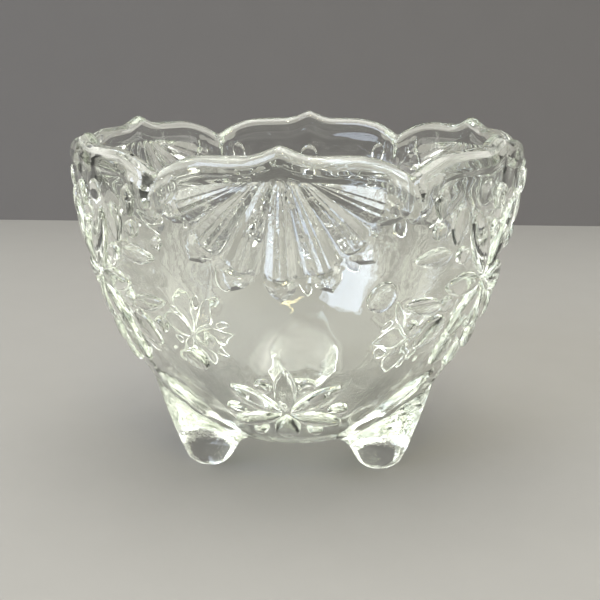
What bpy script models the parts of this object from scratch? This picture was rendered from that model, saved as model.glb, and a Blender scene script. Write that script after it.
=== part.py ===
"""Footed candy dish of clear pressed glass: a round bowl with a six-lobed rim, on three feet.

The real dish is one pressing, so the bowl and the feet meet face to face all over.
Metres, +Z up. The origin is on the table, under the middle of the bowl, and -Y is the front.
"""

import math

import bmesh
import bpy
from mathutils import Matrix, Vector
from mathutils.geometry import interpolate_bezier

MM = 0.001

# Driving dimensions
RIM_RADIUS = 55.0 * MM
HEIGHT = 84.0 * MM
LIP_THICKNESS = 4.8 * MM
LIP_RISE = 2.4 * MM
WALL_THICKNESS = 4.3 * MM
FLOOR_THICKNESS = 5.2 * MM
JOINT_GAP = 0.3 * MM

# Rim: each lobe rises from a notch to a shoulder and on to a low point in its middle
LOBES = 6
NOTCH_DEPTH = 6.3 * MM
SHOULDER_DROP = 2.1 * MM
POINT_HALF_WIDTH = 0.24
SHOULDER_END = 0.52
FALL_POWER = 2.3
SCALLOP_FROM = 64.0 * MM
SCALLOP_FULL = 80.0 * MM

# Outside of the wall, as (radius, height) from the middle of the underside up to the lip
BASE_HEIGHT = 6.2 * MM
WALL_LINE = (
    (0.0, BASE_HEIGHT),
    (16.0 * MM, 6.9 * MM),
    (26.5 * MM, 11.6 * MM),
    (38.6 * MM, 24.8 * MM),
    (46.6 * MM, 40.6 * MM),
    (51.7 * MM, 58.0 * MM),
    (54.3 * MM, 71.5 * MM),
    (RIM_RADIUS, HEIGHT - LIP_RISE),
)
STEPS_PER_SPAN = 2
LIP_STEPS = 6
TURN_STEPS = 96

# Feet: each stands on a small flat sole and widens upwards into the bowl, as
# (height, inner radius, outer radius, half width) from the sole to inside the wall
FEET = {"foot_front_left": -60.0, "foot_front_right": 60.0, "foot_rear": 180.0}
FOOT_SECTIONS = (
    (0.0, 21.6 * MM, 27.8 * MM, 3.3 * MM),
    (0.6 * MM, 20.5 * MM, 29.1 * MM, 4.7 * MM),
    (1.8 * MM, 19.3 * MM, 30.4 * MM, 6.0 * MM),
    (3.8 * MM, 18.2 * MM, 31.4 * MM, 7.0 * MM),
    (6.4 * MM, 16.4 * MM, 32.4 * MM, 8.1 * MM),
    (9.0 * MM, 13.0 * MM, 33.4 * MM, 9.3 * MM),
    (14.0 * MM, 12.5 * MM, 35.2 * MM, 10.4 * MM),
    (20.0 * MM, 16.0 * MM, 37.2 * MM, 10.6 * MM),
    (27.0 * MM, 22.0 * MM, 38.8 * MM, 9.6 * MM),
)
FOOT_SIDES = 32

GLASS_COLOUR = (0.86, 0.92, 0.86, 1.0)
GLASS_IOR = 1.52


def clear_scene():
    for scene_object in list(bpy.data.objects):
        bpy.data.objects.remove(scene_object, do_unlink=True)


def collection_named(name, hidden=False):
    collection = bpy.data.collections.new(name)
    bpy.context.scene.collection.children.link(collection)
    collection.hide_render = hidden
    return collection


def glass(name, roughness):
    """Clear soda-lime glass with the faint green of its iron."""
    material = bpy.data.materials.new(name)
    material.use_nodes = True
    shader = material.node_tree.nodes["Principled BSDF"]
    shader.inputs["Base Color"].default_value = GLASS_COLOUR
    shader.inputs["Roughness"].default_value = roughness
    shader.inputs["Metallic"].default_value = 0.0
    shader.inputs["IOR"].default_value = GLASS_IOR
    shader.inputs["Transmission Weight"].default_value = 1.0
    material.diffuse_color = GLASS_COLOUR
    return material


def smooth_line(points, steps):
    """A smooth curve through the points, as one Bezier span between each pair."""
    knots = [Vector((radius, 0.0, height)) for radius, height in points]
    line = []
    for index in range(len(knots) - 1):
        start, end = knots[index], knots[index + 1]
        before = knots[index - 1] if index else start
        after = knots[index + 2] if index + 2 < len(knots) else end
        span = (end - start).length
        leave = (end - before).normalized() * span / 3.0
        arrive = (after - start).normalized() * span / 3.0
        curve = interpolate_bezier(start, start + leave, end - arrive, end, steps + 1)
        line.extend(curve[:-1])
    return line + [knots[-1]]


def outward(line, index):
    """The unit normal of the line at this point, pointing away from the axis and down."""
    before, after = line[max(index - 1, 0)], line[min(index + 1, len(line) - 1)]
    along = (after - before).normalized()
    return Vector((along.z, 0.0, -along.x))


def offset_line(line, distances):
    """The line moved along its own normals, outwards where the distance is positive."""
    moved = [line[i] + outward(line, i) * distances[i] for i in range(len(line))]
    moved[0].x = 0.0
    return moved


def inside_line(line):
    """The inside of the wall: thickest at the floor, and as wide as the lip at the top."""
    distances = []
    for point in line:
        share = min(point.x / RIM_RADIUS, 1.0)
        wall = FLOOR_THICKNESS + (WALL_THICKNESS - FLOOR_THICKNESS) * share
        near_lip = max(0.0, (point.z - SCALLOP_FROM) / (HEIGHT - SCALLOP_FROM))
        distances.append(-(wall + (LIP_THICKNESS - wall) * near_lip**2))
    return offset_line(line, distances)


def lip_arc(outer_end, inner_end):
    """The half-round top of the lip, from the outside over to the inside."""
    middle = (outer_end + inner_end) / 2.0
    across = (outer_end - inner_end) / 2.0
    rise = Vector((0.0, 0.0, HEIGHT - middle.z))
    arc = []
    for step in range(1, LIP_STEPS):
        angle = math.pi * step / LIP_STEPS
        arc.append(middle + across * math.cos(angle) + rise * math.sin(angle))
    return arc


def turned(name, profile, collection, material=None):
    """A solid turned about +Z from a profile that starts and ends on the axis.

    The profile runs down its outer side, from the top to the bottom.
    """
    mesh = bpy.data.meshes.new(name)
    edges = [(i, i + 1) for i in range(len(profile) - 1)]
    mesh.from_pydata(profile, edges, [])
    if material:
        mesh.materials.append(material)
    solid = bpy.data.objects.new(name, mesh)
    collection.objects.link(solid)
    screw = solid.modifiers.new("Turn", "SCREW")
    screw.axis = "Z"
    screw.angle = math.tau
    screw.steps = TURN_STEPS
    screw.render_steps = TURN_STEPS
    screw.use_merge_vertices = True
    screw.merge_threshold = 0.00001
    return solid


def made_real(solid):
    """The object's evaluated mesh in place of its modifiers, with doubles merged."""
    graph = bpy.context.evaluated_depsgraph_get()
    mesh = bpy.data.meshes.new_from_object(solid.evaluated_get(graph))
    solid.modifiers.clear()
    solid.data = mesh
    shape = bmesh.new()
    shape.from_mesh(mesh)
    bmesh.ops.remove_doubles(shape, verts=shape.verts, dist=0.00001)
    bmesh.ops.recalc_face_normals(shape, faces=shape.faces)
    shape.to_mesh(mesh)
    shape.free()
    return mesh


def smooth_step(value):
    value = min(max(value, 0.0), 1.0)
    return value * value * (3.0 - 2.0 * value)


def rim_drop(azimuth):
    """How far the rim lies below its highest points, in this direction."""
    lobe = math.tau / LOBES
    across = abs((azimuth / lobe + 0.5) % 1.0 - 0.5) * 2.0
    point = SHOULDER_DROP * min(across / POINT_HALF_WIDTH, 1.0)
    fall = max(0.0, across - SHOULDER_END) / (1.0 - SHOULDER_END)
    return point + (NOTCH_DEPTH - SHOULDER_DROP) * fall**FALL_POWER


def scallop(mesh):
    """Lowers the top of the wall to the line of the rim's lobes."""
    for vertex in mesh.vertices:
        azimuth = math.atan2(vertex.co.x, -vertex.co.y)
        share = (vertex.co.z - SCALLOP_FROM) / (SCALLOP_FULL - SCALLOP_FROM)
        vertex.co.z -= rim_drop(azimuth) * smooth_step(share)


def make_bowl(collection):
    outer = smooth_line(WALL_LINE, STEPS_PER_SPAN)
    inner = inside_line(outer)
    # Up the inside, over the lip and down the outside makes the faces point out of the glass.
    profile = inner + lip_arc(outer[-1], inner[-1])[::-1] + outer[::-1]
    bowl = turned("bowl", profile, collection, glass("pressed soda-lime glass, bowl", 0.03))
    mesh = made_real(bowl)
    scallop(mesh)
    mesh.shade_smooth()
    return outer


def foot_ring(shape, height, inner, outer, half_width):
    """One rounded section of a foot that stands at +X."""
    middle, half_depth = (inner + outer) / 2.0, (outer - inner) / 2.0
    ring = []
    for side in range(FOOT_SIDES):
        angle = math.tau * side / FOOT_SIDES
        across = half_width * math.sin(angle)
        ring.append(shape.verts.new((middle + half_depth * math.cos(angle), across, height)))
    return ring


def foot_mesh(name):
    """The lofted foot, from its flat sole up to where the bowl takes it over."""
    shape = bmesh.new()
    rings = [foot_ring(shape, *section) for section in FOOT_SECTIONS]
    for lower, upper in zip(rings, rings[1:]):
        for side in range(FOOT_SIDES):
            after = (side + 1) % FOOT_SIDES
            shape.faces.new((lower[side], lower[after], upper[after], upper[side]))
    shape.faces.new(rings[0][::-1])
    shape.faces.new(rings[-1])
    bmesh.ops.recalc_face_normals(shape, faces=shape.faces)
    mesh = bpy.data.meshes.new(name)
    shape.to_mesh(mesh)
    shape.free()
    return mesh


def make_foot(name, azimuth, collection, cutter):
    mesh = foot_mesh(name)
    mesh.materials.append(glass(f"pressed soda-lime glass, {name}", 0.05))
    # A foot drawn at +X turns to its own azimuth, which is counted from -Y towards +X.
    mesh.transform(Matrix.Rotation(math.radians(azimuth - 90.0), 4, "Z"))
    mesh.shade_smooth()
    foot = bpy.data.objects.new(name, mesh)
    collection.objects.link(foot)
    fit = foot.modifiers.new("Fit to the bowl", "BOOLEAN")
    fit.operation = "DIFFERENCE"
    fit.solver = "EXACT"
    fit.object = cutter
    return foot


def make_cutter(outer, collection):
    """The bowl's outer shape, grown by the gap at which a foot meets it."""
    grown = offset_line(outer, [JOINT_GAP] * len(outer))
    top = Vector((0.0, 0.0, grown[-1].z))
    cutter = turned("bowl_outside_cutter", [top] + grown[::-1], collection)
    made_real(cutter)
    cutter.hide_render = True
    cutter.display_type = "WIRE"
    return cutter


def main():
    clear_scene()
    dish = collection_named("candy_dish")
    cutters = collection_named("cutters", hidden=True)
    outer = make_bowl(dish)
    cutter = make_cutter(outer, cutters)
    for name, azimuth in FEET.items():
        make_foot(name, azimuth, dish, cutter)


main()
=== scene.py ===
"""Looks of a footed candy dish of clear pressed glass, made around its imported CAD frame.

The file is laid out as an add-on and run as a script. The dish is three-fold: one panel
holds a fan, a flower spray, a low daisy and a foot, and a node tree turns it about the axis.
"""

import math

import bmesh
import bpy
import numpy as np
from bpy.props import FloatProperty, IntProperty, PointerProperty, StringProperty
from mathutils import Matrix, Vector
from mathutils.geometry import delaunay_2d_cdt, interpolate_bezier
from mathutils.kdtree import KDTree


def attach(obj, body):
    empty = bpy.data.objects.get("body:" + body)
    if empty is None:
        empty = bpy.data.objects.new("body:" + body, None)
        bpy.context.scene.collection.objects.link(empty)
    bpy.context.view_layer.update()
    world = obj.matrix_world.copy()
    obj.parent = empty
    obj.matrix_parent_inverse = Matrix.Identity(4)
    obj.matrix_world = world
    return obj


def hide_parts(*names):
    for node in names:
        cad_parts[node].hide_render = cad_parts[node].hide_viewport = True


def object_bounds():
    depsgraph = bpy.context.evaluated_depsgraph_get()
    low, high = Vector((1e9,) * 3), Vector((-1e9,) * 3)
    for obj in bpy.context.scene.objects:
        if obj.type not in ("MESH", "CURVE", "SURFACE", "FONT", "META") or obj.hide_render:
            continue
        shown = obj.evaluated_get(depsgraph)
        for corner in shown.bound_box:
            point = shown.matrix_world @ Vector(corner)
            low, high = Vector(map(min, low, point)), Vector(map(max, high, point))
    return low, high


bl_info = {
    "name": "Pressed Glass Candy Dish",
    "version": (1, 0, 0),
    "blender": (4, 5, 0),
    "location": "View3D > Sidebar > Candy Dish",
    "description": "A three-footed pressed glass dish with relief flowers and fans, and its stage",
    "category": "Object",
}

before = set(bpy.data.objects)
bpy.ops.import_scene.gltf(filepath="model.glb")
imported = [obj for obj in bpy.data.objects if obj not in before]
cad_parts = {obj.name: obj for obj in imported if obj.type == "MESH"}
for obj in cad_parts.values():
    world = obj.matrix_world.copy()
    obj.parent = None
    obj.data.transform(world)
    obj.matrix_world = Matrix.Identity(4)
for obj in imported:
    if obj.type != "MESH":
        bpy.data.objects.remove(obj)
CAD_LOW, CAD_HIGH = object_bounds()

# The CAD bowl sets the scale: every length below is in millimetres on a dish 110 mm across.
MM = (CAD_HIGH.x - CAD_LOW.x) / 110.0
HEIGHT = (CAD_HIGH.z - CAD_LOW.z) / MM

# Outside of the wall, as (radius, height) from the middle of the underside up to the lip.
WALL_KNOTS = (
    (0.0, 6.2), (16.0, 6.9), (26.5, 11.6), (38.6, 24.8),
    (46.6, 40.6), (51.6, 58.0), (54.0, 71.5), (54.9, 81.6),
)
KNOT_STEPS = 40
OUTER_STEP = 0.25
OUTER_EASING = 160
LIP_ARC_STEPS = 24
OUTLINE_STEP = 0.2
OUTLINE_EASING = 4

# One panel runs from a notch at -30 degrees, over the fan and the flower, to 90 degrees.
PANELS = 3
PANEL_START = math.radians(-30.0)
PANEL_ANGLE = math.tau / PANELS
FAN_AZIMUTH = 0.0
FLOWER_AZIMUTH = 60.0
CAP_RADIUS = 7.0
MAP_RADIUS = 50.0

# Plan of the mesh: points this near are one, and relief keeps some room from the panel's sides.
# The wall's rows of points are finer under the lip, where the drips hang.
SAME_POINT = 0.06
SIDE_STEP = 0.9
SIDE_ROOM = 0.35
CAP_COLUMNS = 12
ROW_PITCH = 0.87
FILL_ROOM = 0.55
FINE_SHARE = 0.55
FINE_DEPTH = 14.0
LIP_ROW = 0.36
LIP_DEPTH = 9.0
INSIDE_ROWS = 61
POLE_ROOM = 0.6

# In metres: points of neighbouring panels this near are merged. Sharper edges stay sharp.
SEAM = 0.00002
SHARP_ANGLE = math.radians(38.0)

# Rim: each lobe rises from a notch to a shoulder and on to a low point in its middle.
LOBES = 6
POINT_HALF_WIDTH = 0.24
POINT_ROUNDING = 0.03
SHOULDER_END = 0.52
POINT_CURVE = 1.8
NOTCH_ROUNDING = 0.03
NOTCH_CURVE = 2.3
SCALLOP_FROM = 64.0
SCALLOP_FULL = 80.0

# Bead just under the lip, and the groove that runs down from each notch.
BEAD_HEIGHT = 0.3
BEAD_HALF_WIDTH = 1.2
BEAD_BELOW_LIP = 1.6
GROOVE_DEPTH = 1.5
GROOVE_HALF_WIDTH = 1.1
GROOVE_LENGTH = 13.0
GROOVE_EASE = 12.0
GROOVE_OVER_LIP = 2.0

# Drips of glass that hang side by side under each notch, longest in the middle.
DRIPS = 2
DRIP_SPACING = 2.5
DRIP_LENGTH = 12.0
DRIP_STAGGER = 2.8
DRIP_HEIGHT = 0.7
DRIP_ROUNDING = 1.2
DRIP_EASE = 2.0

# Fine lines that run along the lip, where the hot glass closed over the mould's ring.
LIP_LINE_SPACING = 1.5
LIP_LINE_HEIGHT = 0.04
LIP_LINE_SWAY = 1.6
LIP_LINE_REACH = 3.0

# Faint unevenness of the plain wall, from its cooling.
WAVE_HEIGHT = 0.035
WAVE_FROM = 12.0
WAVE_EASE = 10.0

# The foot under the flower, as (height, inner radius, outer radius, half width). Its surface is
# sought level by level, closest in the toe, and the mould skin starts above the sole's rim.
FOOT_SECTIONS = np.array((
    (0.0, 21.9, 27.5, 3.0), (0.15, 21.4, 28.1, 3.7), (0.6, 20.5, 29.1, 4.7),
    (1.8, 19.3, 30.4, 6.0), (3.8, 18.2, 31.4, 7.0), (6.4, 16.4, 32.4, 8.1),
    (9.0, 13.0, 33.4, 9.3), (14.0, 12.5, 35.2, 10.4), (20.0, 16.0, 37.2, 10.6),
    (27.0, 22.0, 38.8, 9.6),
))
FOOT_FILLET = 3.0
FOOT_LEVELS = (0.0, 0.08, 0.2, 0.45, 0.8, 1.3, 2.0, 3.0, 4.4, 6.0, 8.0, 10.5, 13.5, 17.0, 20.5, 24.0)
FOOT_RING_STEP = 0.75
SOLE_RIM = 0.3
TOE_HEIGHT = 2.0
TOE_LEVELS = 40
LEG_LEVELS = 100
OFF_FOOT = 99.0

# Cross-section of petals and dots: 2 is an ellipse, and more is flatter with steeper sides.
# A petal falls to its two ends by its own power, and EDGE_STEP lies between points of an edge.
DOME = 2.5
END_FALL = 0.4
EDGE_STEP = 0.5

# Heights of the other figures, as shares of how far a petal stands out.
RAY_SHARE = 0.95
LEAF_SHARE = 0.9
RING_DOT_SHARE = 0.85
LOOSE_DOT_SHARE = 0.8

# Relief of the flower spray, mirrored about its own axis. A petal is (direction, length, width)
# and an oval in the ring around them (direction, distance from the centre, length, width). A leaf
# is (kind, degrees from the axis, length along the wall, direction of its tip, length, width).
FLOWER_CENTRE = 75.0
FLOWER_PETALS = ((30.0, 20.5, 6.2), (90.0, 14.2, 5.6), (150.0, 16.0, 6.0))
FLOWER_DOTS = (
    (0.0, 12.2, 4.6, 3.2), (57.0, 13.6, 4.8, 4.2), (108.0, 13.2, 4.2, 3.6), (180.0, 10.2, 5.2, 4.0),
)
SPRAY = (
    ("leaf", 22.4, 82.9, 94.0, 10.2, 4.5),
    ("dot", 22.2, 88.8, 0.0, 4.0, 3.8),
    ("leaf", 16.0, 89.6, 182.0, 9.4, 4.8),
    ("leaf", 22.8, 95.0, 186.0, 7.4, 3.8),
    ("leaf", 22.4, 71.4, 82.0, 10.6, 4.3),
    ("dot", 25.0, 66.2, 0.0, 4.2, 3.8),
    ("leaf", 18.4, 64.2, 136.0, 10.4, 6.4),
    ("leaf", 8.2, 58.4, 150.0, 10.4, 6.2),
    ("dot", 0.0, 94.4, 0.0, 6.2, 5.2),
    ("leaf", 0.0, 55.0, 180.0, 8.0, 4.6),
)

# Loose ovals, as (azimuth, length along the wall, direction, length, width).
LOOSE_DOTS = (
    (24.6, 75.0, 40.0, 7.6, 6.6), (-25.8, 58.2, -30.0, 6.4, 5.6), (-30.4, 86.4, 20.0, 3.4, 2.6),
)

# Relief of the low daisy under the fan.
DAISY_CENTRE = 42.6
DAISY_PETALS = ((0.0, 14.4, 5.4), (54.0, 15.6, 4.8), (110.0, 13.2, 5.0), (180.0, 11.6, 6.2))
DAISY_DOTS = ((27.0, 10.6, 4.4, 4.0), (84.0, 11.6, 4.8, 3.8), (140.0, 9.6, 4.6, 3.6))

# The fan: rays that start side by side under the rim and spread, each to a faceted shield.
# Shields lie on an arc about the hub; across a ray, its ridges are (share of half width, height).
FAN_HUB = 102.0
FAN_RAYS = 7
RAY_STEP = math.radians(23.6)
RAY_TOP = 100.6
RAY_SPACING = 2.3
RAY_LENGTH = 22.4
RAY_NARROWING = 0.18
RAY_EASE = 0.07
RAY_END = 1.03
RAY_TOP_CORNER = 0.06
RAY_END_CORNER = 0.12
RAY_STEPS = 44
RAY_RIDGES = ((0.0, 1.0), (0.28, 0.74), (0.42, 0.84), (0.78, 0.36), (1.0, 0.0))
SHIELD_REACH = 24.0
SHIELD_SPLAY = 0.92
SHIELD_SLOPE = 1.6
SHIELD_TOP = 0.9
SHIELD_OUTLINE = (
    (-2.6, -2.6), (-2.6, 2.6), (-0.8, 3.5), (1.5, 2.5), (3.5, 0.0), (1.5, -2.5), (-0.8, -3.5),
)

# Stage, in metres. The floor lies just under the soles, and the backdrop leans back.
FLOOR_HALF = 0.36
FLOOR_GAP = 0.00002
BACKDROP_Y = 0.34
BACKDROP_LEAN = 0.1
BACKDROP_HEIGHT = 0.6

# The room is dark at eye level and behind the camera, bright above and brightest overhead.
# Each step of its brightness is (axis, start, end, brightness before, brightness after).
ROOM_STEPS = {
    "rising": ("Z", 0.1, 0.3, 0.03, 2.1),
    "fading": ("Z", 0.45, 0.6, 0.0, 1.1),
    "behind": ("Y", -0.85, -0.35, 0.25, 1.0),
    "overhead": ("Z", 0.85, 0.96, 0.0, 3.0),
}

# Lamps, as (name, place, size, share of the power, colour), all turned to the dish.
LAMP_TARGET = (0.0, 0.0, 0.04)
LAMPS = (
    ("window_softbox", (-0.85, -0.95, 0.84), (0.75, 0.85), 0.95, "#D6E4FF"),
    ("ceiling_lamp", (0.12, -0.75, 0.95), (0.3, 0.03), 0.2, "#FFF0B0"),
)

# Camera, in millimetres about the dish's axis, and in radians.
CAMERA_AZIMUTH = math.radians(3.78)
CAMERA_DISTANCE = 253.9
CAMERA_HEIGHT = 103.7
CAMERA_TILT = math.radians(90.0 - 14.22)
CAMERA_PAN = math.radians(-0.15)


def hex_linear(colour, alpha=1.0):
    """The linear RGBA of an sRGB hex colour."""
    shares = [int(colour.lstrip("#")[i:i + 2], 16) / 255.0 for i in (0, 2, 4)]
    linear = [c / 12.92 if c <= 0.04045 else ((c + 0.055) / 1.055) ** 2.4 for c in shares]
    return (*linear, alpha)


def smooth_step(value):
    """0 up to 0, 1 from 1 on, and a soft S between."""
    value = np.clip(value, 0.0, 1.0)
    return value * value * (3.0 - 2.0 * value)


class DishSettings(bpy.types.PropertyGroup):
    """Sizes and colours of the dish that a user would change."""

    wall: FloatProperty(
        name="Wall", description="Thickness of the wall, in millimetres",
        default=4.2, min=2.0, max=6.0)
    floor: FloatProperty(
        name="Floor", description="Thickness of the bowl's floor, in millimetres",
        default=5.2, min=3.0, max=8.0)
    lip: FloatProperty(
        name="Lip", description="Thickness of the rounded lip, in millimetres",
        default=4.8, min=3.0, max=6.0)
    notch: FloatProperty(
        name="Notch", description="Depth of the notches in the rim, in millimetres",
        default=6.3, min=0.0, max=9.0)
    point: FloatProperty(
        name="Point", description="Rise of each lobe's point over its shoulders, in millimetres",
        default=2.1, min=0.0, max=4.0)
    relief: FloatProperty(
        name="Relief", description="How far petals and leaves stand out, in millimetres",
        default=1.7, min=0.2, max=2.5)
    spacing: FloatProperty(
        name="Mesh spacing", description="Distance between points of the plain wall, in millimetres",
        default=1.15, min=0.6, max=4.0)
    columns: IntProperty(
        name="Columns", description="Columns of the lip and the inside in one panel",
        default=132, min=24, max=240)
    tint: StringProperty(
        name="Glass tint", description="Colour that thick glass takes on, as sRGB hex", default="#DCE9C6")
    tint_density: FloatProperty(
        name="Tint density", description="Absorption per metre of glass", default=5.0, min=0.0, max=200.0)


class StageSettings(bpy.types.PropertyGroup):
    """Floor, backdrop, lights and camera."""

    floor_colour: StringProperty(
        name="Floor", description="Colour of the floor, as sRGB hex", default="#7B7976")
    wall_colour: StringProperty(
        name="Backdrop", description="Colour of the backdrop, as sRGB hex", default="#605D5C")
    sky: FloatProperty(
        name="Room light", description="Strength of the light from all round",
        default=1.65, min=0.0, max=5.0)
    key: FloatProperty(
        name="Lamps", description="Power that the window and the ceiling lamp share",
        default=14.0, min=0.0, max=100.0, unit="POWER")
    lens: FloatProperty(
        name="Lens", description="Focal length on a 36 mm sensor, in millimetres",
        default=61.07, min=20.0, max=200.0)


# ---------------------------------------------------------------- the wall's outline


def smooth_line(points):
    """A smooth curve through the points, as one Bezier span between each pair."""
    knots = [Vector((radius, height)) for radius, height in points]
    line = []
    for index in range(len(knots) - 1):
        start, end = knots[index], knots[index + 1]
        before = knots[index - 1] if index else start
        after = knots[index + 2] if index + 2 < len(knots) else end
        reach = (end - start).length / 3.0
        leave = start + (end - before).normalized() * reach
        arrive = end - (after - start).normalized() * reach
        line.extend(interpolate_bezier(start, leave, arrive, end, KNOT_STEPS + 1)[:-1])
    return np.array([tuple(point) for point in line + [knots[-1]]])


def line_normals(line):
    """Unit normals on the side away from the axis, for a line that runs up the outside."""
    along = np.gradient(line, axis=0)
    along /= np.linalg.norm(along, axis=1)[:, None]
    return np.stack([along[:, 1], -along[:, 0]], axis=1)


def evenly(line, step):
    """The same line with its points a step apart."""
    length = np.concatenate([[0.0], np.cumsum(np.linalg.norm(np.diff(line, axis=0), axis=1))])
    places = np.linspace(0.0, length[-1], int(round(length[-1] / step)) + 1)
    return np.stack([np.interp(places, length, line[:, i]) for i in (0, 1)], axis=1)


def relaxed(line, rounds):
    """The line with its small corners eased out. Its ends stay."""
    for _ in range(rounds):
        line[1:-1] = (line[:-2] + 2.0 * line[1:-1] + line[2:]) / 4.0
    return line


class Outline:
    """The turned outline of the dish: up the outside, over the lip and down the inside.

    s is the length along it in millimetres, r and z the radius and height there.
    """

    def __init__(self, dish):
        outer = relaxed(evenly(smooth_line(WALL_KNOTS), OUTER_STEP), OUTER_EASING)
        inner = self.inside(outer, dish)
        lip = self.over_lip(outer[-1], inner[-1])
        whole = np.vstack([outer, lip, inner[::-1]])
        line = relaxed(evenly(whole, OUTLINE_STEP), OUTLINE_EASING)
        line[:, 1] *= HEIGHT / line[:, 1].max()
        line[[0, -1], 0] = 0.0
        self.r, self.z = line[:, 0], line[:, 1]
        self.s = np.concatenate([[0.0], np.cumsum(np.hypot(np.diff(self.r), np.diff(self.z)))])
        self.normal_r, self.normal_z = line_normals(line).T
        top = np.argmax(self.z)
        self.crest = self.s[top]
        self.lip_start = np.interp(outer[-1, 1], self.z[:top], self.s[:top])
        self.map = np.concatenate([[0.0], np.cumsum(np.diff(self.s) / np.maximum(self.r[1:], 1.0))])

    @staticmethod
    def inside(outer, dish):
        """The inside of the wall: thickest at the floor, and as wide as the lip at the top."""
        share = np.clip(outer[:, 0] / outer[-1, 0], 0.0, 1.0)
        wall = dish.floor + (dish.wall - dish.floor) * share
        near_lip = np.clip((outer[:, 1] - SCALLOP_FROM) / (HEIGHT - SCALLOP_FROM), 0.0, 1.0)
        inner = outer - line_normals(outer) * (wall + (dish.lip - wall) * near_lip ** 2)[:, None]
        inner[0, 0] = 0.0
        return inner

    @staticmethod
    def over_lip(outer_end, inner_end):
        """The half-round lip, from the outside over to the inside."""
        middle, across = (outer_end + inner_end) / 2.0, (outer_end - inner_end) / 2.0
        angles = np.linspace(0.0, math.pi, LIP_ARC_STEPS + 1)[1:-1, None]
        rise = np.array([0.0, HEIGHT - middle[1]])
        return middle + across * np.cos(angles) + rise * np.sin(angles)

    def at(self, s):
        """Radius, height and normal of the outline."""
        return tuple(np.interp(s, self.s, part) for part in (self.r, self.z, self.normal_r, self.normal_z))

    def radius(self, s):
        return np.interp(s, self.s, self.r)

    def to_map(self, azimuth, s):
        """Flat coordinates in which a small figure keeps its shape."""
        return azimuth * MAP_RADIUS, np.interp(s, self.s, self.map) * MAP_RADIUS

    def from_map(self, x, y):
        return x / MAP_RADIUS, np.interp(y / MAP_RADIUS, self.map, self.s)

    def s_at_height(self, height):
        """Length along the outside of the wall at a height."""
        outer = self.s <= self.lip_start
        return np.interp(height, self.z[outer], self.s[outer])

    def s_at_radius(self, radius):
        """Length along the outside of the wall at a radius."""
        outer = self.s <= self.lip_start
        return np.interp(radius, self.r[outer], self.s[outer])


def rim_drop(azimuth, dish):
    """How far the rim lies below its highest points, in this direction."""
    lobe = math.tau / LOBES
    across = np.abs((azimuth / lobe + 0.5) % 1.0 - 0.5) * 2.0
    point = np.clip((np.hypot(across, POINT_ROUNDING) - POINT_ROUNDING) / POINT_HALF_WIDTH, 0.0, 1.0)
    to_notch = np.hypot(1.0 - across, NOTCH_ROUNDING) - NOTCH_ROUNDING
    fall = np.clip(1.0 - to_notch / (1.0 - SHOULDER_END), 0.0, 1.0)
    shoulder = dish.point * (1.0 - (1.0 - point) ** POINT_CURVE)
    return shoulder + (dish.notch - dish.point) * fall ** NOTCH_CURVE


def scalloped(azimuth, z, dish):
    """Heights on the finished wall of points that a plain rim would hold at z."""
    ramp = smooth_step((z - SCALLOP_FROM) / (SCALLOP_FULL - SCALLOP_FROM))
    return z - rim_drop(azimuth, dish) * ramp


def plain_height(azimuth, z, dish):
    """The inverse of scalloped, by repeated correction."""
    plain = z
    for _ in range(20):
        plain = z + plain - scalloped(azimuth, plain, dish)
    return plain


# ---------------------------------------------------------------- relief figures


def wrapped(azimuth):
    """The azimuth moved into the panel."""
    return (azimuth - PANEL_START) % PANEL_ANGLE + PANEL_START


class Figure:
    """One raised figure on the wall, in its own flat frame: p runs along it, q across it."""

    rings = (1.0, 0.94, 0.84, 0.66, 0.42, 0.16)

    def __init__(self, outline, azimuth, s, direction, length, width, height):
        self.outline = outline
        self.azimuth, self.s = math.radians(azimuth), s
        self.direction = math.radians(direction)
        self.length, self.width, self.height = length, width, height

    def local(self, azimuth, s):
        """The figure's own p and q of points of the wall."""
        turn = (azimuth - self.azimuth + PANEL_ANGLE / 2.0) % PANEL_ANGLE - PANEL_ANGLE / 2.0
        u, v = turn * self.outline.radius(s), s - self.s
        sine, cosine = math.sin(self.direction), math.cos(self.direction)
        return u * sine + v * cosine, u * cosine - v * sine

    def world(self, p, q):
        """The azimuth and the length along the wall of a point of the figure."""
        sine, cosine = math.sin(self.direction), math.cos(self.direction)
        s = self.s + p * cosine - q * sine
        return self.azimuth + (p * sine + q * cosine) / self.outline.radius(s), s

    def lines(self):
        """The rings that the mesh follows, each as its points' p, q and whether it closes."""
        p, q = self.edge()
        middle = self.middle()
        for share in self.rings:
            steps = max(8, int(len(p) * (0.35 + 0.65 * share)))
            pick = np.linspace(0, len(p), steps, endpoint=False).astype(int)
            yield middle + (p[pick] - middle) * share, q[pick] * share, True


class Dot(Figure):
    """A raised oval."""

    def middle(self):
        return 0.0

    def edge(self):
        count = max(16, int(math.pi * (self.length + self.width) / 2.0 / EDGE_STEP))
        angle = np.arange(count) * math.tau / count
        return self.length / 2.0 * np.cos(angle), self.width / 2.0 * np.sin(angle)

    def rise(self, azimuth, s):
        p, q = self.local(azimuth, s)
        far = (2.0 * p / self.length) ** 2 + (2.0 * q / self.width) ** 2
        return self.height * np.clip(1.0 - far ** (DOME / 2.0), 0.0, None) ** (1.0 / DOME)


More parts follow.
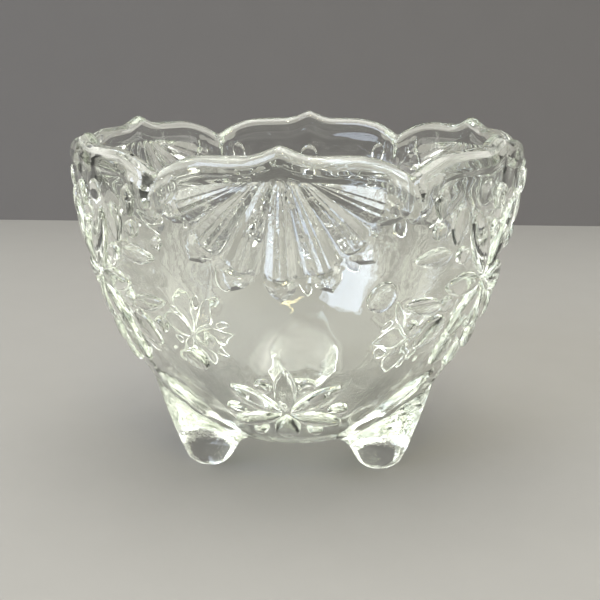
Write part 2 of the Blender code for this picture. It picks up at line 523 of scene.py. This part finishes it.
class Petal(Figure):
    """A raised petal: narrow where it starts, widest past its middle, pointed at its tip.

    swell and taper are the powers by which its width grows and falls, and start is how far
    from the flower's centre it begins.
    """

    swell, taper = 0.85, 0.72
    start = 0.9

    def half_width(self, share):
        most = self.swell / (self.swell + self.taper)
        share = np.clip(share, 0.0, 1.0)
        shape = (share / most) ** self.swell * ((1.0 - share) / (1.0 - most)) ** self.taper
        return self.width / 2.0 * shape

    def middle(self):
        return self.start + (self.length - self.start) * 0.55

    def edge(self):
        count = max(10, int((self.length - self.start) / EDGE_STEP))
        share = 0.5 - 0.5 * np.cos(np.linspace(0.0, math.pi, count))
        p = self.start + (self.length - self.start) * share
        q = self.half_width(share)
        return np.concatenate([p, p[-2:0:-1]]), np.concatenate([q, -q[-2:0:-1]])

    def rise(self, azimuth, s):
        p, q = self.local(azimuth, s)
        share = (p - self.start) / (self.length - self.start)
        wide = np.maximum(self.half_width(share), 1e-6)
        inside = (share > 0.0) & (share < 1.0) & (np.abs(q) < wide)
        dome = np.clip(1.0 - np.abs(q / wide) ** DOME, 0.0, None) ** (1.0 / DOME)
        ends = np.clip(4.0 * share * (1.0 - share), 0.0, None) ** END_FALL
        return np.where(inside, self.height * dome * ends, 0.0)


class Leaf(Petal):
    """A leaf placed by its middle, pointed at both ends."""

    swell, taper = 0.62, 0.78
    start = 0.0

    def local(self, azimuth, s):
        p, q = super().local(azimuth, s)
        return p + self.length / 2.0, q

    def world(self, p, q):
        return super().world(p - self.length / 2.0, q)


class FanRays(Figure):
    """The fan's rays: ridged wedges with a valley between neighbours.

    A place on them is the ray's number, counted from the middle one and whole on its ridge,
    and the share of the way from the ray's top to its end.
    """

    def __init__(self, outline, height):
        super().__init__(outline, FAN_AZIMUTH, FAN_HUB, 0.0, 0.0, 0.0, height)

    @staticmethod
    def line(number):
        """Start and run of the straight line that a number stands for, as p and q of each."""
        angle = number * RAY_STEP
        start = RAY_TOP - FAN_HUB, RAY_SPACING * number
        return start, (-RAY_LENGTH * np.cos(angle) - start[0], RAY_LENGTH * np.sin(angle) - start[1])

    def lines(self):
        share = np.linspace(0.0, 1.0, RAY_STEPS)
        width = 1.0 - RAY_NARROWING * share ** 2
        for ray in range(FAN_RAYS):
            for side, (across, _) in [(side, ridge) for ridge in RAY_RIDGES for side in (-0.5, 0.5)]:
                start, run = self.line(ray - (FAN_RAYS - 1) / 2.0 + side * across * width)
                yield start[0] + run[0] * share, start[1] + run[1] * share, False

    def place(self, p, q):
        """The number and share of points, by halving the range of numbers."""
        low, high = np.full_like(p, -FAN_RAYS), np.full_like(p, FAN_RAYS)
        for _ in range(24):
            middle = (low + high) / 2.0
            start, run = self.line(middle)
            left = (q - start[1]) * run[0] - (p - start[0]) * run[1] > 0.0
            low, high = np.where(left, low, middle), np.where(left, middle, high)
        start, run = self.line(middle)
        share = ((p - start[0]) * run[0] + (q - start[1]) * run[1]) / (run[0] ** 2 + run[1] ** 2)
        return middle, share

    def rise(self, azimuth, s):
        p, q = self.local(azimuth, s)
        height = np.zeros_like(p)
        near = (np.hypot(p, q) < RAY_LENGTH + 2.0) & (p < 0.0)
        number, share = self.place(p[near], q[near])
        width = 1.0 - RAY_NARROWING * np.clip(share, 0.0, 1.0) ** 2
        across = np.abs(number - np.round(number)) * 2.0 / width
        shares, heights = zip(*RAY_RIDGES)
        corner = 1.0 - np.sqrt(1.0 - np.clip(across, 0.0, 1.0) ** 2)
        start = np.sqrt(np.clip((share - RAY_TOP_CORNER * corner) / RAY_EASE, 0.0, 1.0))
        end = smooth_step((RAY_END - RAY_END_CORNER * corner - share) / RAY_EASE)
        ends = start * end * (np.abs(number) < FAN_RAYS / 2.0)
        height[near] = self.height * np.interp(across, shares, heights) * ends * (0.5 + 0.5 * share)
        return height


class Shield(Figure):
    """The faceted shield at the end of a ray."""

    corners = np.array(SHIELD_OUTLINE)
    rings = (1.0, 0.9, 0.7, 0.44, 0.2)

    def lines(self):
        ring = np.vstack([self.corners, self.corners[:1]])
        for share in self.rings:
            steps = np.concatenate([np.linspace(a, b, 7)[:-1] for a, b in zip(ring, ring[1:])]) * share
            yield steps[:, 0], steps[:, 1], True
        for corner in self.corners:
            yield *np.linspace(corner * 0.08, corner, 8).T, False

    def rise(self, azimuth, s):
        p, q = self.local(azimuth, s)
        far = np.full_like(p, -1.0)
        for start, end in zip(self.corners, np.roll(self.corners, -1, axis=0)):
            normal = np.array([end[1] - start[1], start[0] - end[0]])
            far = np.maximum(far, (p * normal[0] + q * normal[1]) / (start @ normal))
        return self.height * np.clip((1.0 - far) * SHIELD_SLOPE, 0.0, SHIELD_TOP)


def flower_figures(outline, relief):
    """The large flower over a foot, with the leaves and dots of its spray."""
    for side in (-1.0, 1.0):
        for direction, length, width in FLOWER_PETALS:
            yield Petal(outline, FLOWER_AZIMUTH, FLOWER_CENTRE, side * direction, length, width, relief)
        for kind, turn, s, direction, length, width in SPRAY:
            if turn == 0.0 and side > 0.0:
                continue
            shape = Dot if kind == "dot" else Leaf
            azimuth, height = FLOWER_AZIMUTH + side * turn, relief * LEAF_SHARE
            yield shape(outline, azimuth, s, side * direction, length, width, height)
    yield from ring_of_dots(outline, FLOWER_AZIMUTH, FLOWER_CENTRE, FLOWER_DOTS, relief * RING_DOT_SHARE)


def daisy_figures(outline, relief):
    """The small daisy low on the wall under the fan."""
    for direction, length, width in DAISY_PETALS:
        for side in (-1.0, 1.0) if 0.0 < direction < 180.0 else (1.0,):
            yield Petal(outline, FAN_AZIMUTH, DAISY_CENTRE, side * direction, length, width, relief)
    yield from ring_of_dots(outline, FAN_AZIMUTH, DAISY_CENTRE, DAISY_DOTS, relief * RING_DOT_SHARE)


def ring_of_dots(outline, azimuth, centre, dots, height):
    """Ovals that point away from a flower's centre, between its petals."""
    for direction, reach, length, width in dots:
        for side in (-1.0, 1.0) if 0.0 < direction < 180.0 else (1.0,):
            angle = math.radians(side * direction)
            s = centre + reach * math.cos(angle)
            turn = math.degrees(reach * math.sin(angle) / outline.radius(s))
            yield Dot(outline, azimuth + turn, s, side * direction, length, width, height)


def fan_figures(outline, relief):
    """The fan's rays, and the shield at the end of each."""
    yield FanRays(outline, relief * RAY_SHARE)
    for ray in range(FAN_RAYS):
        angle = (ray - (FAN_RAYS - 1) / 2.0) * RAY_STEP
        s = FAN_HUB - SHIELD_REACH * math.cos(angle)
        turn = math.degrees(SHIELD_REACH * math.sin(angle) / outline.radius(s))
        tip = 180.0 - math.degrees(angle) * SHIELD_SPLAY
        yield Shield(outline, FAN_AZIMUTH + turn, s, tip, 0.0, 0.0, relief)


def loose_dots(outline, relief):
    """Single ovals between the fan and the flowers."""
    for azimuth, s, direction, length, width in LOOSE_DOTS:
        yield Dot(outline, azimuth, s, direction, length, width, relief * LOOSE_DOT_SHARE)


def all_figures(outline, dish):
    """Every raised figure of one panel."""
    return [
        *fan_figures(outline, dish.relief),
        *flower_figures(outline, dish.relief),
        *daisy_figures(outline, dish.relief),
        *loose_dots(outline, dish.relief),
    ]


def drips_height(across, s, outline):
    """The drips of glass that hang side by side under a notch."""
    flute = np.abs(across / DRIP_SPACING)
    near = np.abs(flute - np.round(flute)) * 2.0
    end = outline.lip_start - DRIP_LENGTH + DRIP_STAGGER * np.round(flute)
    hang = np.sqrt(np.clip((s - end - DRIP_ROUNDING * near ** 2) / DRIP_EASE, 0.0, 1.0))
    hang = hang * (np.round(flute) <= DRIPS)
    drips = DRIP_HEIGHT * np.sqrt(np.clip(1.0 - near ** 2, 0.0, 1.0)) * hang
    return drips * smooth_step((outline.lip_start - s) / DRIP_SPACING)


def plain_relief(azimuth, s, outline):
    """What the whole wall has: bead, drips, fine lines, groove and a slight waviness."""
    bead = BEAD_HEIGHT * np.exp(-(((s - outline.lip_start + BEAD_BELOW_LIP) / BEAD_HALF_WIDTH) ** 2))
    lobe = math.tau / LOBES
    across = ((azimuth / lobe) % 1.0 - 0.5) * lobe * outline.radius(s)
    drips = drips_height(across, s, outline)
    depth = GROOVE_DEPTH * smooth_step((s - outline.lip_start + GROOVE_LENGTH) / GROOVE_EASE)
    groove = depth * (s < outline.crest) * np.exp(-((across / GROOVE_HALF_WIDTH) ** 2))
    groove = groove * (s < outline.lip_start + GROOVE_OVER_LIP)
    lip = np.exp(-(((s - outline.crest + 1.0) / LIP_LINE_REACH) ** 2))
    sway = LIP_LINE_SWAY * np.sin(azimuth * LOBES)
    lines = LIP_LINE_HEIGHT * np.sin(math.tau * s / LIP_LINE_SPACING + sway) * lip
    # Whole numbers of waves go round the dish, so that they meet at the panels' sides.
    wave = WAVE_HEIGHT * np.sin(s * 0.55 + 2.0 * np.sin(azimuth * 9.0)) * np.sin(azimuth * 24.0 + s * 0.21)
    return bead + drips + lines - groove + wave * smooth_step((s - WAVE_FROM) / WAVE_EASE)


def foot_height(x, y):
    """Height of the foot's surface over a point of the table plan, or a large value off the foot."""
    heights, inner, outer, half_width = FOOT_SECTIONS.T
    azimuth = math.radians(FLOWER_AZIMUTH)
    along = x * math.sin(azimuth) - y * math.cos(azimuth)
    across = x * math.cos(azimuth) + y * math.sin(azimuth)
    toe = np.linspace(0.0, TOE_HEIGHT, TOE_LEVELS + 1)[:-1]
    levels = np.concatenate([toe, np.linspace(TOE_HEIGHT, heights[-1], LEG_LEVELS + 1)])
    found = np.full(np.shape(x), OFF_FOOT)
    before = None
    for level in levels:
        a, b, w = (np.interp(level, heights, part) for part in (inner, outer, half_width))
        inside = np.hypot((along - (a + b) / 2.0) / ((b - a) / 2.0), across / w) - 1.0
        if before is None:
            found = np.where(inside <= 0.0, 0.0, found)
        else:
            share = before / np.where(before == inside, 1.0, before - inside)
            crossed = (found == OFF_FOOT) & (inside <= 0.0)
            found = np.where(crossed, last + (level - last) * share, found)
        before, last = inside, level
    return found


def foot_rings(outline):
    """The foot's sections as lines on the wall, so that the mesh follows the foot."""
    azimuth = math.radians(FLOWER_AZIMUTH)
    heights, inner, outer, half_width = FOOT_SECTIONS.T
    for level in FOOT_LEVELS:
        a, b, w = (np.interp(level, heights, part) for part in (inner, outer, half_width))
        count = int(math.pi * ((b - a) / 2.0 + w) / FOOT_RING_STEP)
        angle = np.arange(count) * math.tau / count
        along, across = (a + b) / 2.0 + (b - a) / 2.0 * np.cos(angle), w * np.sin(angle)
        yield azimuth + np.arctan2(across, along), outline.s_at_radius(np.hypot(along, across)), True


# ---------------------------------------------------------------- the panel's mesh


class Plan:
    """The flat plan of one panel's outside: points and the lines that its mesh keeps."""

    def __init__(self, outline, dish):
        self.outline, self.dish = outline, dish
        self.points, self.edges, self.seen = [], [], {}
        self.low = outline.s_at_radius(CAP_RADIUS)
        self.high = outline.lip_start
        self.left, self.right = PANEL_START, PANEL_START + PANEL_ANGLE

    def add(self, azimuth, s):
        """The number of the point at this place, which is added if it is new."""
        x, y = self.outline.to_map(azimuth, s)
        key = (round(float(x) / SAME_POINT), round(float(y) / SAME_POINT))
        if key not in self.seen:
            self.seen[key] = len(self.points)
            self.points.append((float(x), float(y)))
        return self.seen[key]

    def border(self):
        """Points along the panel's four sides. Both upright sides have the same ones."""
        rows = int((self.high - self.low) / SIDE_STEP)
        for s in np.linspace(self.low, self.high, rows):
            self.add(self.left, s)
            self.add(self.right, s)
        for azimuth in np.linspace(self.left, self.right, self.dish.columns + 1):
            self.add(azimuth, self.high)
        for azimuth in np.linspace(self.left, self.right, CAP_COLUMNS + 1):
            self.add(azimuth, self.low)

    def line(self, azimuth, s, closed):
        """A line of the relief, left out where it comes too near the panel's sides."""
        azimuth = wrapped(azimuth)
        height = plain_height(azimuth, np.interp(s, self.outline.s, self.outline.z), self.dish)
        s = self.outline.s_at_height(height)
        room = SIDE_ROOM / self.outline.radius(s)
        kept = (azimuth > self.left + room) & (azimuth < self.right - room)
        kept &= (s > self.low + SIDE_ROOM) & (s < self.high - SIDE_ROOM)
        places = [self.add(a, b) if ok else None for a, b, ok in zip(azimuth, s, kept)]
        pairs = list(zip(places, places[1:])) + ([(places[-1], places[0])] if closed else [])
        for start, end in pairs:
            if start is None or end is None or start == end:
                continue
            # A line that leaves by one side and comes back by the other is cut between them.
            if abs(self.points[start][0] - self.points[end][0]) < MAP_RADIUS * 0.1:
                self.edges.append((start, end))

    def fill(self):
        """Points over the plain wall, in staggered rows, clear of the lines."""
        tree = KDTree(len(self.points))
        for index, (x, y) in enumerate(self.points):
            tree.insert((x, y, 0.0), index)
        tree.balance()
        rows, s = [], self.low + self.dish.spacing
        while s < self.high - 0.3:
            step = self.dish.spacing * (FINE_SHARE if s > self.high - FINE_DEPTH else 1.0)
            rows.append((s, step))
            s += step * ROW_PITCH
        for row, (s, step) in enumerate(rows):
            radius = float(self.outline.radius(s))
            count = max(6, int(round(PANEL_ANGLE * radius / step)))
            clear = FILL_ROOM * step * MAP_RADIUS / radius
            for column in range(count):
                azimuth = self.left + PANEL_ANGLE * (column + 0.25 + 0.5 * (row % 2)) / count
                x, y = self.outline.to_map(azimuth, s)
                if tree.find((x, y, 0.0))[2] > clear:
                    self.points.append((float(x), float(y)))

    def triangles(self):
        """The plan's points as azimuths and lengths along the wall, and its triangles."""
        points, _, faces, *_ = delaunay_2d_cdt(
            [Vector(point) for point in self.points], sorted(set(self.edges)), [], 0, 1e-5)
        flat = np.array([tuple(point) for point in points])
        azimuth, s = self.outline.from_map(flat[:, 0], flat[:, 1])
        return azimuth, s, [tuple(face) for face in faces]


def surface_points(azimuth, s, outline, dish, figures):
    """The glass surface over the plan in metres, and how worked it is: 0 plain, 1 on relief or a foot."""
    r, z, normal_r, normal_z = outline.at(s)
    height = plain_relief(azimuth, s, outline)
    worked = np.zeros_like(s)
    if figures:
        place = outline.s_at_height(scalloped(azimuth, z, dish))
        rise = np.max([figure.rise(azimuth, place) for figure in figures], axis=0)
        worked = np.clip(rise / (0.5 * dish.relief), 0.0, 1.0)
        height = height + rise
    r, z = np.maximum(r + normal_r * height, 0.0), z + normal_z * height
    x, y = r * np.sin(azimuth), -r * np.cos(azimuth)
    if figures:
        foot = foot_height(x, y)
        blend = np.clip(0.5 + 0.5 * (foot - z) / FOOT_FILLET, 0.0, 1.0)
        z = foot + (z - foot) * blend - FOOT_FILLET * blend * (1.0 - blend)
        z = np.maximum(z, 0.0)
        worked = np.maximum(worked, (1.0 - blend) * (z > SOLE_RIM))
    return np.stack([x, y, scalloped(azimuth, z, dish)], axis=1) * MM, worked


def grid_faces(rows, columns, first):
    """Quads between rows of points that are numbered from first."""
    for row in range(rows - 1):
        for column in range(columns - 1):
            corner = first + row * columns + column
            yield corner, corner + 1, corner + columns + 1, corner + columns


def lip_and_inside(outline, dish):
    """Rows of points from the outside of the lip, over it and down to the floor's middle."""
    azimuths = np.linspace(PANEL_START, PANEL_START + PANEL_ANGLE, dish.columns + 1)
    over = np.arange(outline.lip_start, outline.crest + LIP_DEPTH, LIP_ROW)
    down = np.linspace(over[-1], outline.s[-1] - POLE_ROOM, INSIDE_ROWS + 1)[1:]
    rows = np.concatenate([over, down])
    azimuth, s = np.meshgrid(azimuths, rows)
    points, _ = surface_points(azimuth.ravel(), s.ravel(), outline, dish, None)
    return points, list(grid_faces(len(rows), len(azimuths), 0)), len(azimuths)


def pole_fan(shape, ring, height):
    """Closes a ring around the axis with one middle point."""
    middle = shape.verts.new((0.0, 0.0, height))
    for start, end in zip(ring, ring[1:]):
        shape.faces.new((start, end, middle))


def make_panel(dish):
    """One third of the dish, open only at its two upright sides."""
    outline = Outline(dish)
    figures = all_figures(outline, dish)
    plan = Plan(outline, dish)
    plan.border()
    for figure in figures:
        for p, q, closed in figure.lines():
            plan.line(*figure.world(p, q), closed)
    for line in foot_rings(outline):
        plan.line(*line)
    plan.fill()
    azimuth, s, faces = plan.triangles()
    points, worked = surface_points(azimuth, s, outline, dish, figures)
    shape = bmesh.new()
    layer = shape.verts.layers.float.new("worked")
    outside = [shape.verts.new(point) for point in points]
    for vertex, share in zip(outside, worked):
        vertex[layer] = share
    for face in faces:
        shape.faces.new([outside[corner] for corner in face])
    points, quads, columns = lip_and_inside(outline, dish)
    inside = [shape.verts.new(point) for point in points]
    for quad in quads:
        shape.faces.new([inside[corner] for corner in quad])
    pole_fan(shape, inside[-columns:], float(points[-1][2]))
    low = sorted(
        (vertex for vertex, length in zip(outside, s) if length < plan.low + 0.01),
        key=lambda vertex: math.atan2(vertex.co.x, -vertex.co.y))
    pole_fan(shape, low[::-1], outline.z[0] * MM)
    bmesh.ops.remove_doubles(shape, verts=shape.verts, dist=SEAM)
    mesh = bpy.data.meshes.new("panel")
    shape.to_mesh(mesh)
    shape.free()
    return mesh


# ---------------------------------------------------------------- node trees


def node(tree, kind, settings=None, **links):
    """Adds a node with its settings; each link gives an input socket's value or what feeds it."""
    made = tree.nodes.new(kind)
    for name, value in (settings or {}).items():
        setattr(made, name, value)
    for name, source in links.items():
        numbered = name[0] == "i" and name[1:].isdigit()
        socket = made.inputs[int(name[1:]) if numbered else name.replace("_", " ")]
        if isinstance(source, bpy.types.NodeSocket):
            tree.links.new(source, socket)
        else:
            socket.default_value = source
    return made


def turning_tree():
    """Copies a panel round the axis, merges its seams and gives it its material."""
    tree = bpy.data.node_groups.new("Turn panels about the axis", "GeometryNodeTree")
    face = tree.interface
    face.new_socket("Geometry", in_out="INPUT", socket_type="NodeSocketGeometry")
    panels = face.new_socket("Panels", in_out="INPUT", socket_type="NodeSocketInt")
    merge = face.new_socket("Merge Distance", in_out="INPUT", socket_type="NodeSocketFloat")
    finish = face.new_socket("Material", in_out="INPUT", socket_type="NodeSocketMaterial")
    face.new_socket("Geometry", in_out="OUTPUT", socket_type="NodeSocketGeometry")
    given = tree.nodes.new("NodeGroupInput").outputs
    points = node(tree, "GeometryNodeMeshLine", i0=given["Panels"], i3=(0.0, 0.0, 0.0))
    index = node(tree, "GeometryNodeInputIndex")
    share = node(tree, "ShaderNodeMath", {"operation": "DIVIDE"}, i0=index.outputs[0], i1=given["Panels"])
    turn = node(tree, "ShaderNodeMath", {"operation": "MULTIPLY"}, i0=share.outputs[0], i1=math.tau)
    spin = node(tree, "ShaderNodeCombineXYZ", Z=turn.outputs[0])
    copies = node(
        tree, "GeometryNodeInstanceOnPoints", Points=points.outputs[0],
        Instance=given["Geometry"], Rotation=spin.outputs[0])
    real = node(tree, "GeometryNodeRealizeInstances", Geometry=copies.outputs[0])
    joined = node(
        tree, "GeometryNodeMergeByDistance", Geometry=real.outputs[0], Distance=given["Merge Distance"])
    finished = node(tree, "GeometryNodeSetMaterial", Geometry=joined.outputs[0], Material=given["Material"])
    node(tree, "NodeGroupOutput", i0=finished.outputs[0])
    return tree, {"panels": panels.identifier, "merge": merge.identifier, "material": finish.identifier}


def pressed_glass(dish):
    """Soda-lime glass, pressed in an iron mould and fire-polished.

    Fire polish leaves it glossy, with a faint waviness and slightly duller spots where the
    mould was cold; iron in the batch shows as pale green only where the glass is thick.
    """
    material = bpy.data.materials.new("fire_polished_soda_lime_glass")
    material.use_nodes = True
    tree = material.node_tree
    tree.nodes.clear()
    place = node(tree, "ShaderNodeTexCoord").outputs["Object"]
    # Mould chill: soft patches about 12 mm across.
    patches = node(
        tree, "ShaderNodeTexNoise", Vector=place, Scale=80.0, Detail=2.0, Roughness=0.5)
    rough = node(
        tree, "ShaderNodeMapRange", Value=patches.outputs["Fac"],
        From_Min=0.35, From_Max=0.75, To_Min=0.0, To_Max=0.012)
    # Fire-polish ripple: about 2.5 mm from crest to crest, everywhere.
    ripple = node(tree, "ShaderNodeTexNoise", Vector=place, Scale=400.0, Detail=1.0, Roughness=0.4)
    soft = node(tree, "ShaderNodeBump", Strength=0.25, Distance=0.00004, Height=ripple.outputs["Fac"])
    # Mould skin: wrinkles 1.4 mm apart, where the glass filled the cut figures and the feet.
    skin = node(
        tree, "ShaderNodeTexNoise", Vector=place, Scale=700.0, Detail=1.0, Roughness=0.4,
        Distortion=1.0)
    worked = node(tree, "ShaderNodeAttribute", {"attribute_name": "worked"})
    bump = node(
        tree, "ShaderNodeBump", Strength=worked.outputs["Fac"], Distance=0.00006,
        Height=skin.outputs["Fac"], Normal=soft.outputs["Normal"])
    shader = node(
        tree, "ShaderNodeBsdfPrincipled", Base_Color=hex_linear("#FCFDFA"), IOR=1.52,
        Roughness=rough.outputs["Result"], Normal=bump.outputs["Normal"])
    shader.inputs["Transmission Weight"].default_value = 1.0
    tint = node(
        tree, "ShaderNodeVolumeAbsorption", Color=hex_linear(dish.tint), Density=dish.tint_density)
    node(tree, "ShaderNodeOutputMaterial", Surface=shader.outputs["BSDF"], Volume=tint.outputs["Volume"])
    return material


# ---------------------------------------------------------------- operators


def check_closed(mesh):
    """Raises unless the mesh is one closed surface with its faces outwards."""
    shape = bmesh.new()
    shape.from_mesh(mesh)
    loose = [edge for edge in shape.edges if len(edge.link_faces) != 2]
    if loose:
        where = loose[0].verts[0].co / MM
        raise RuntimeError(f"{mesh.name} has {len(loose)} open edges, one at {tuple(where)}")
    bmesh.ops.recalc_face_normals(shape, faces=shape.faces)
    if shape.calc_volume(signed=True) < 0.0:
        bmesh.ops.reverse_faces(shape, faces=shape.faces)
    shape.to_mesh(mesh)
    shape.free()


class DISH_OT_pressing(bpy.types.Operator):
    """Make the dish: one pressing of clear glass with its bowl, relief and feet"""

    bl_idname = "dish.pressing"
    bl_label = "Pressed Glass Dish"

    def execute(self, context):
        dish = context.scene.dish
        holder = bpy.data.objects.new("pressed_glass_dish", make_panel(dish))
        context.scene.collection.objects.link(holder)
        tree, inputs = turning_tree()
        glass = pressed_glass(dish)
        turn = holder.modifiers.new("Turn panels", "NODES")
        turn.node_group = tree
        turn[inputs["panels"]] = PANELS
        turn[inputs["merge"]] = SEAM
        turn[inputs["material"]] = glass
        graph = context.evaluated_depsgraph_get()
        mesh = bpy.data.meshes.new_from_object(holder.evaluated_get(graph))
        holder.modifiers.clear()
        holder.data = mesh
        mesh.name = "pressed_glass_dish"
        check_closed(mesh)
        mesh.shade_smooth()
        mesh.set_sharp_from_angle(angle=SHARP_ANGLE)
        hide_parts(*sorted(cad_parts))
        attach(holder, "root")
        return {"FINISHED"}


def plain_material(name, colour, roughness):
    """Matt painted board with a faint unevenness."""
    material = bpy.data.materials.new(name)
    material.use_nodes = True
    tree = material.node_tree
    tree.nodes.clear()
    place = node(tree, "ShaderNodeTexCoord").outputs["Object"]
    grain = node(tree, "ShaderNodeTexNoise", Vector=place, Scale=60.0, Detail=4.0)
    low, high = Vector(hex_linear(colour)) * 0.97, Vector(hex_linear(colour)) * 1.03
    mixed = node(
        tree, "ShaderNodeMix", {"data_type": "RGBA"}, i0=grain.outputs["Fac"], i6=low[:], i7=high[:])
    shader = node(tree, "ShaderNodeBsdfPrincipled", Base_Color=mixed.outputs[2], Roughness=roughness)
    node(tree, "ShaderNodeOutputMaterial", Surface=shader.outputs["BSDF"])
    return material


def sheet(name, corners, material):
    """A flat part of the stage."""
    mesh = bpy.data.meshes.new(name)
    mesh.from_pydata(corners, [], [tuple(range(len(corners)))])
    mesh.materials.append(material)
    made = bpy.data.objects.new(name, mesh)
    bpy.context.scene.collection.objects.link(made)
    return made


def softbox(name, place, target, size, power, colour):
    """An area light turned to its target."""
    light = bpy.data.lights.new(name, "AREA")
    light.shape = "RECTANGLE"
    light.size, light.size_y = size
    light.energy = power
    light.color = hex_linear(colour)[:3]
    made = bpy.data.objects.new(name, light)
    made.location = place
    made.rotation_euler = (Vector(target) - Vector(place)).to_track_quat("-Z", "Y").to_euler()
    bpy.context.scene.collection.objects.link(made)
    return made


class DISH_OT_stage(bpy.types.Operator):
    """Make the plain floor, the backdrop, the soft lights and the camera"""

    bl_idname = "dish.stage"
    bl_label = "Stage"

    def execute(self, context):
        stage = context.scene.dish_stage
        self.make_sheets(stage)
        self.make_room(context, stage)
        self.make_lights(stage)
        self.make_camera(context, stage)
        return {"FINISHED"}

    def make_sheets(self, stage):
        floor = plain_material("matt_painted_floor", stage.floor_colour, 0.6)
        wall = plain_material("matt_painted_backdrop", stage.wall_colour, 0.8)
        half, low, back = FLOOR_HALF, -FLOOR_GAP, BACKDROP_Y
        corners = [(-half, -half, low), (half, -half, low), (half, half, low), (-half, half, low)]
        sheet("floor", corners, floor)
        top, top_back = BACKDROP_HEIGHT, BACKDROP_Y + BACKDROP_LEAN
        corners = [(-half, back, 0.0), (half, back, 0.0), (half, top_back, top), (-half, top_back, top)]
        sheet("backdrop", corners, wall)

    def make_room(self, context, stage):
        """The room's light: a bright band above eye level, and a glow overhead."""
        world = bpy.data.worlds.new("room")
        context.scene.world = world
        world.use_nodes = True
        tree = world.node_tree
        tree.nodes.clear()
        way = node(tree, "ShaderNodeTexCoord").outputs["Generated"]
        part = node(tree, "ShaderNodeSeparateXYZ", Vector=way)
        steps = {}
        for name, (axis, start, end, low, high) in ROOM_STEPS.items():
            steps[name] = node(
                tree, "ShaderNodeMapRange", {"interpolation_type": "SMOOTHSTEP"},
                Value=part.outputs[axis], From_Min=start, From_Max=end, To_Min=low, To_Max=high).outputs[0]
        band = node(
            tree, "ShaderNodeMath", {"operation": "SUBTRACT"}, i0=steps["rising"], i1=steps["fading"])
        room = node(
            tree, "ShaderNodeMath", {"operation": "MULTIPLY_ADD"}, i0=band.outputs[0],
            i1=steps["behind"], i2=steps["overhead"])
        light = node(tree, "ShaderNodeMath", {"operation": "MULTIPLY"}, i0=room.outputs[0], i1=stage.sky)
        shade = node(
            tree, "ShaderNodeBackground", Color=hex_linear("#F5F5EF"), Strength=light.outputs[0])
        node(tree, "ShaderNodeOutputWorld", Surface=shade.outputs[0])

    def make_lights(self, stage):
        for name, place, size, share, colour in LAMPS:
            softbox(name, place, LAMP_TARGET, size, stage.key * share, colour)

    def make_camera(self, context, stage):
        azimuth, distance, height = CAMERA_AZIMUTH, CAMERA_DISTANCE * MM, CAMERA_HEIGHT * MM
        camera = bpy.data.objects.new("camera", bpy.data.cameras.new("camera"))
        camera.data.sensor_width = 36.0
        camera.data.lens = stage.lens
        camera.data.clip_start = 0.01
        camera.location = (distance * math.sin(azimuth), -distance * math.cos(azimuth), height)
        camera.rotation_euler = (CAMERA_TILT, 0.0, azimuth + CAMERA_PAN)
        context.scene.collection.objects.link(camera)
        context.scene.camera = camera
        context.scene.view_settings.view_transform = "Standard"
        # Clear glass over clear glass needs many bounces.
        context.scene.cycles.max_bounces = 24
        context.scene.cycles.transmission_bounces = 20
        context.scene.cycles.glossy_bounces = 12


class DISH_PT_panel(bpy.types.Panel):
    """The dish's tools in the sidebar"""

    bl_label = "Candy Dish"
    bl_space_type = "VIEW_3D"
    bl_region_type = "UI"
    bl_category = "Candy Dish"

    def draw(self, context):
        for settings in (context.scene.dish, context.scene.dish_stage):
            for name in settings.__annotations__:
                self.layout.prop(settings, name)
        for operator in (DISH_OT_pressing, DISH_OT_stage):
            self.layout.operator(operator.bl_idname)


CLASSES = (DishSettings, StageSettings, DISH_OT_pressing, DISH_OT_stage, DISH_PT_panel)


def register():
    for cls in CLASSES:
        bpy.utils.register_class(cls)
    bpy.types.Scene.dish = PointerProperty(type=DishSettings)
    bpy.types.Scene.dish_stage = PointerProperty(type=StageSettings)


def unregister():
    del bpy.types.Scene.dish_stage
    del bpy.types.Scene.dish
    for cls in reversed(CLASSES):
        bpy.utils.unregister_class(cls)


def main():
    register()
    bpy.ops.dish.pressing()
    bpy.ops.dish.stage()


if __name__ == "__main__":
    main()
